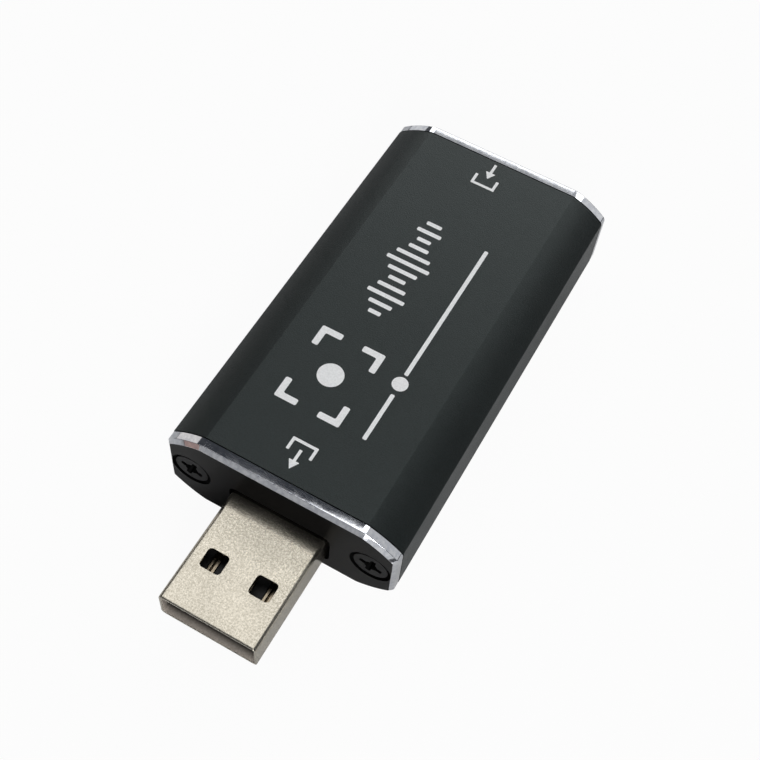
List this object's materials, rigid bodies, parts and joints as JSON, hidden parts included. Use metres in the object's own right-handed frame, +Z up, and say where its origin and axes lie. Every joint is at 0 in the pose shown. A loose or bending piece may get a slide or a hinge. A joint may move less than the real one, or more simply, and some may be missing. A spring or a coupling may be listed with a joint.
{
  "type": "video capture stick",
  "caption": "Black anodised aluminium capture stick with bevelled end plates, a USB-A plug at one end and a digital video input socket at the other, around a small circuit board.",
  "frame": {"origin": "middle of the whole length and width, on the flat underside that the stick lies on", "axes": "+X runs along the stick from the plug's tip to the video socket's end, +Y is the left side seen from the plug's end, +Z is up out of the flat top"},
  "size_m": [0.069, 0.0288, 0.0125],
  "materials": {
    "sleeve_anodised": "black anodised, fine matte grain",
    "plate_anodised": "black anodised face with a polished bright rim",
    "screw_black": "black oxide, semi-gloss",
    "plug_nickel": "nickel plated, fine satin grain",
    "plug_plastic": "black moulded plastic",
    "contact_gold": "gold plated, smooth",
    "board_laminate": "green solder mask, satin",
    "socket_steel": "nickel plated, satin",
    "socket_plastic": "black moulded plastic",
    "chip_epoxy": "black moulded epoxy",
    "lead_tin": "tin plated, satin",
    "ceramic_base": "tan ceramic",
    "lid_metal": "plain metal, satin",
    "inductor_ferrite": "dark grey ferrite",
    "capacitor_ceramic": "tan ceramic with tinned ends",
    "resistor_ceramic": "black glazed ceramic with tinned ends"
  },
  "bodies": {
    "stick": {"housing_sleeve": "sleeve_anodised", "usb_end_plate": "plate_anodised", "video_end_plate": "plate_anodised", "usb_plug_shell": "plug_nickel", "usb_plug_insulator": "plug_plastic", "usb_power_contact": "contact_gold", "usb_data_minus_contact": "contact_gold", "usb_data_plus_contact": "contact_gold", "usb_ground_contact": "contact_gold", "circuit_board": "board_laminate", "video_socket_shell": "socket_steel", "video_socket_insulator": "socket_plastic", "video_upper_contacts": "contact_gold", "video_lower_contacts": "contact_gold", "capture_chip": "chip_epoxy", "capture_chip_leads": "lead_tin", "memory_chip": "chip_epoxy", "memory_chip_leads": "lead_tin", "crystal_base": "ceramic_base", "crystal_lid": "lid_metal", "core_regulator": "chip_epoxy", "port_regulator": "chip_epoxy", "regulator_leads": "lead_tin", "power_inductor": "inductor_ferrite", "bulk_capacitors": "capacitor_ceramic", "ceramic_capacitors": "capacitor_ceramic", "chip_resistors": "resistor_ceramic", "surge_arrays": "chip_epoxy"},
    "usb_screw_left": {"usb_end_screw_left": "screw_black"},
    "usb_screw_right": {"usb_end_screw_right": "screw_black"},
    "video_screw_left": {"video_end_screw_left": "screw_black"},
    "video_screw_right": {"video_end_screw_right": "screw_black"}
  },
  "joints": [
    {"name": "usb_screw_left_turn", "type": "hinge", "parent": "stick", "child": "usb_screw_left", "pos_m": [-0.02025, 0.0114, 0.00625], "axis": [1, 0, 0], "continuous": true},
    {"name": "usb_screw_right_turn", "type": "hinge", "parent": "stick", "child": "usb_screw_right", "pos_m": [-0.02025, -0.0114, 0.00625], "axis": [1, 0, 0], "continuous": true},
    {"name": "video_screw_left_turn", "type": "hinge", "parent": "stick", "child": "video_screw_left", "pos_m": [0.03455, 0.0114, 0.00625], "axis": [1, 0, 0], "continuous": true},
    {"name": "video_screw_right_turn", "type": "hinge", "parent": "stick", "child": "video_screw_right", "pos_m": [0.03455, -0.0114, 0.00625], "axis": [1, 0, 0], "continuous": true}
  ]
}
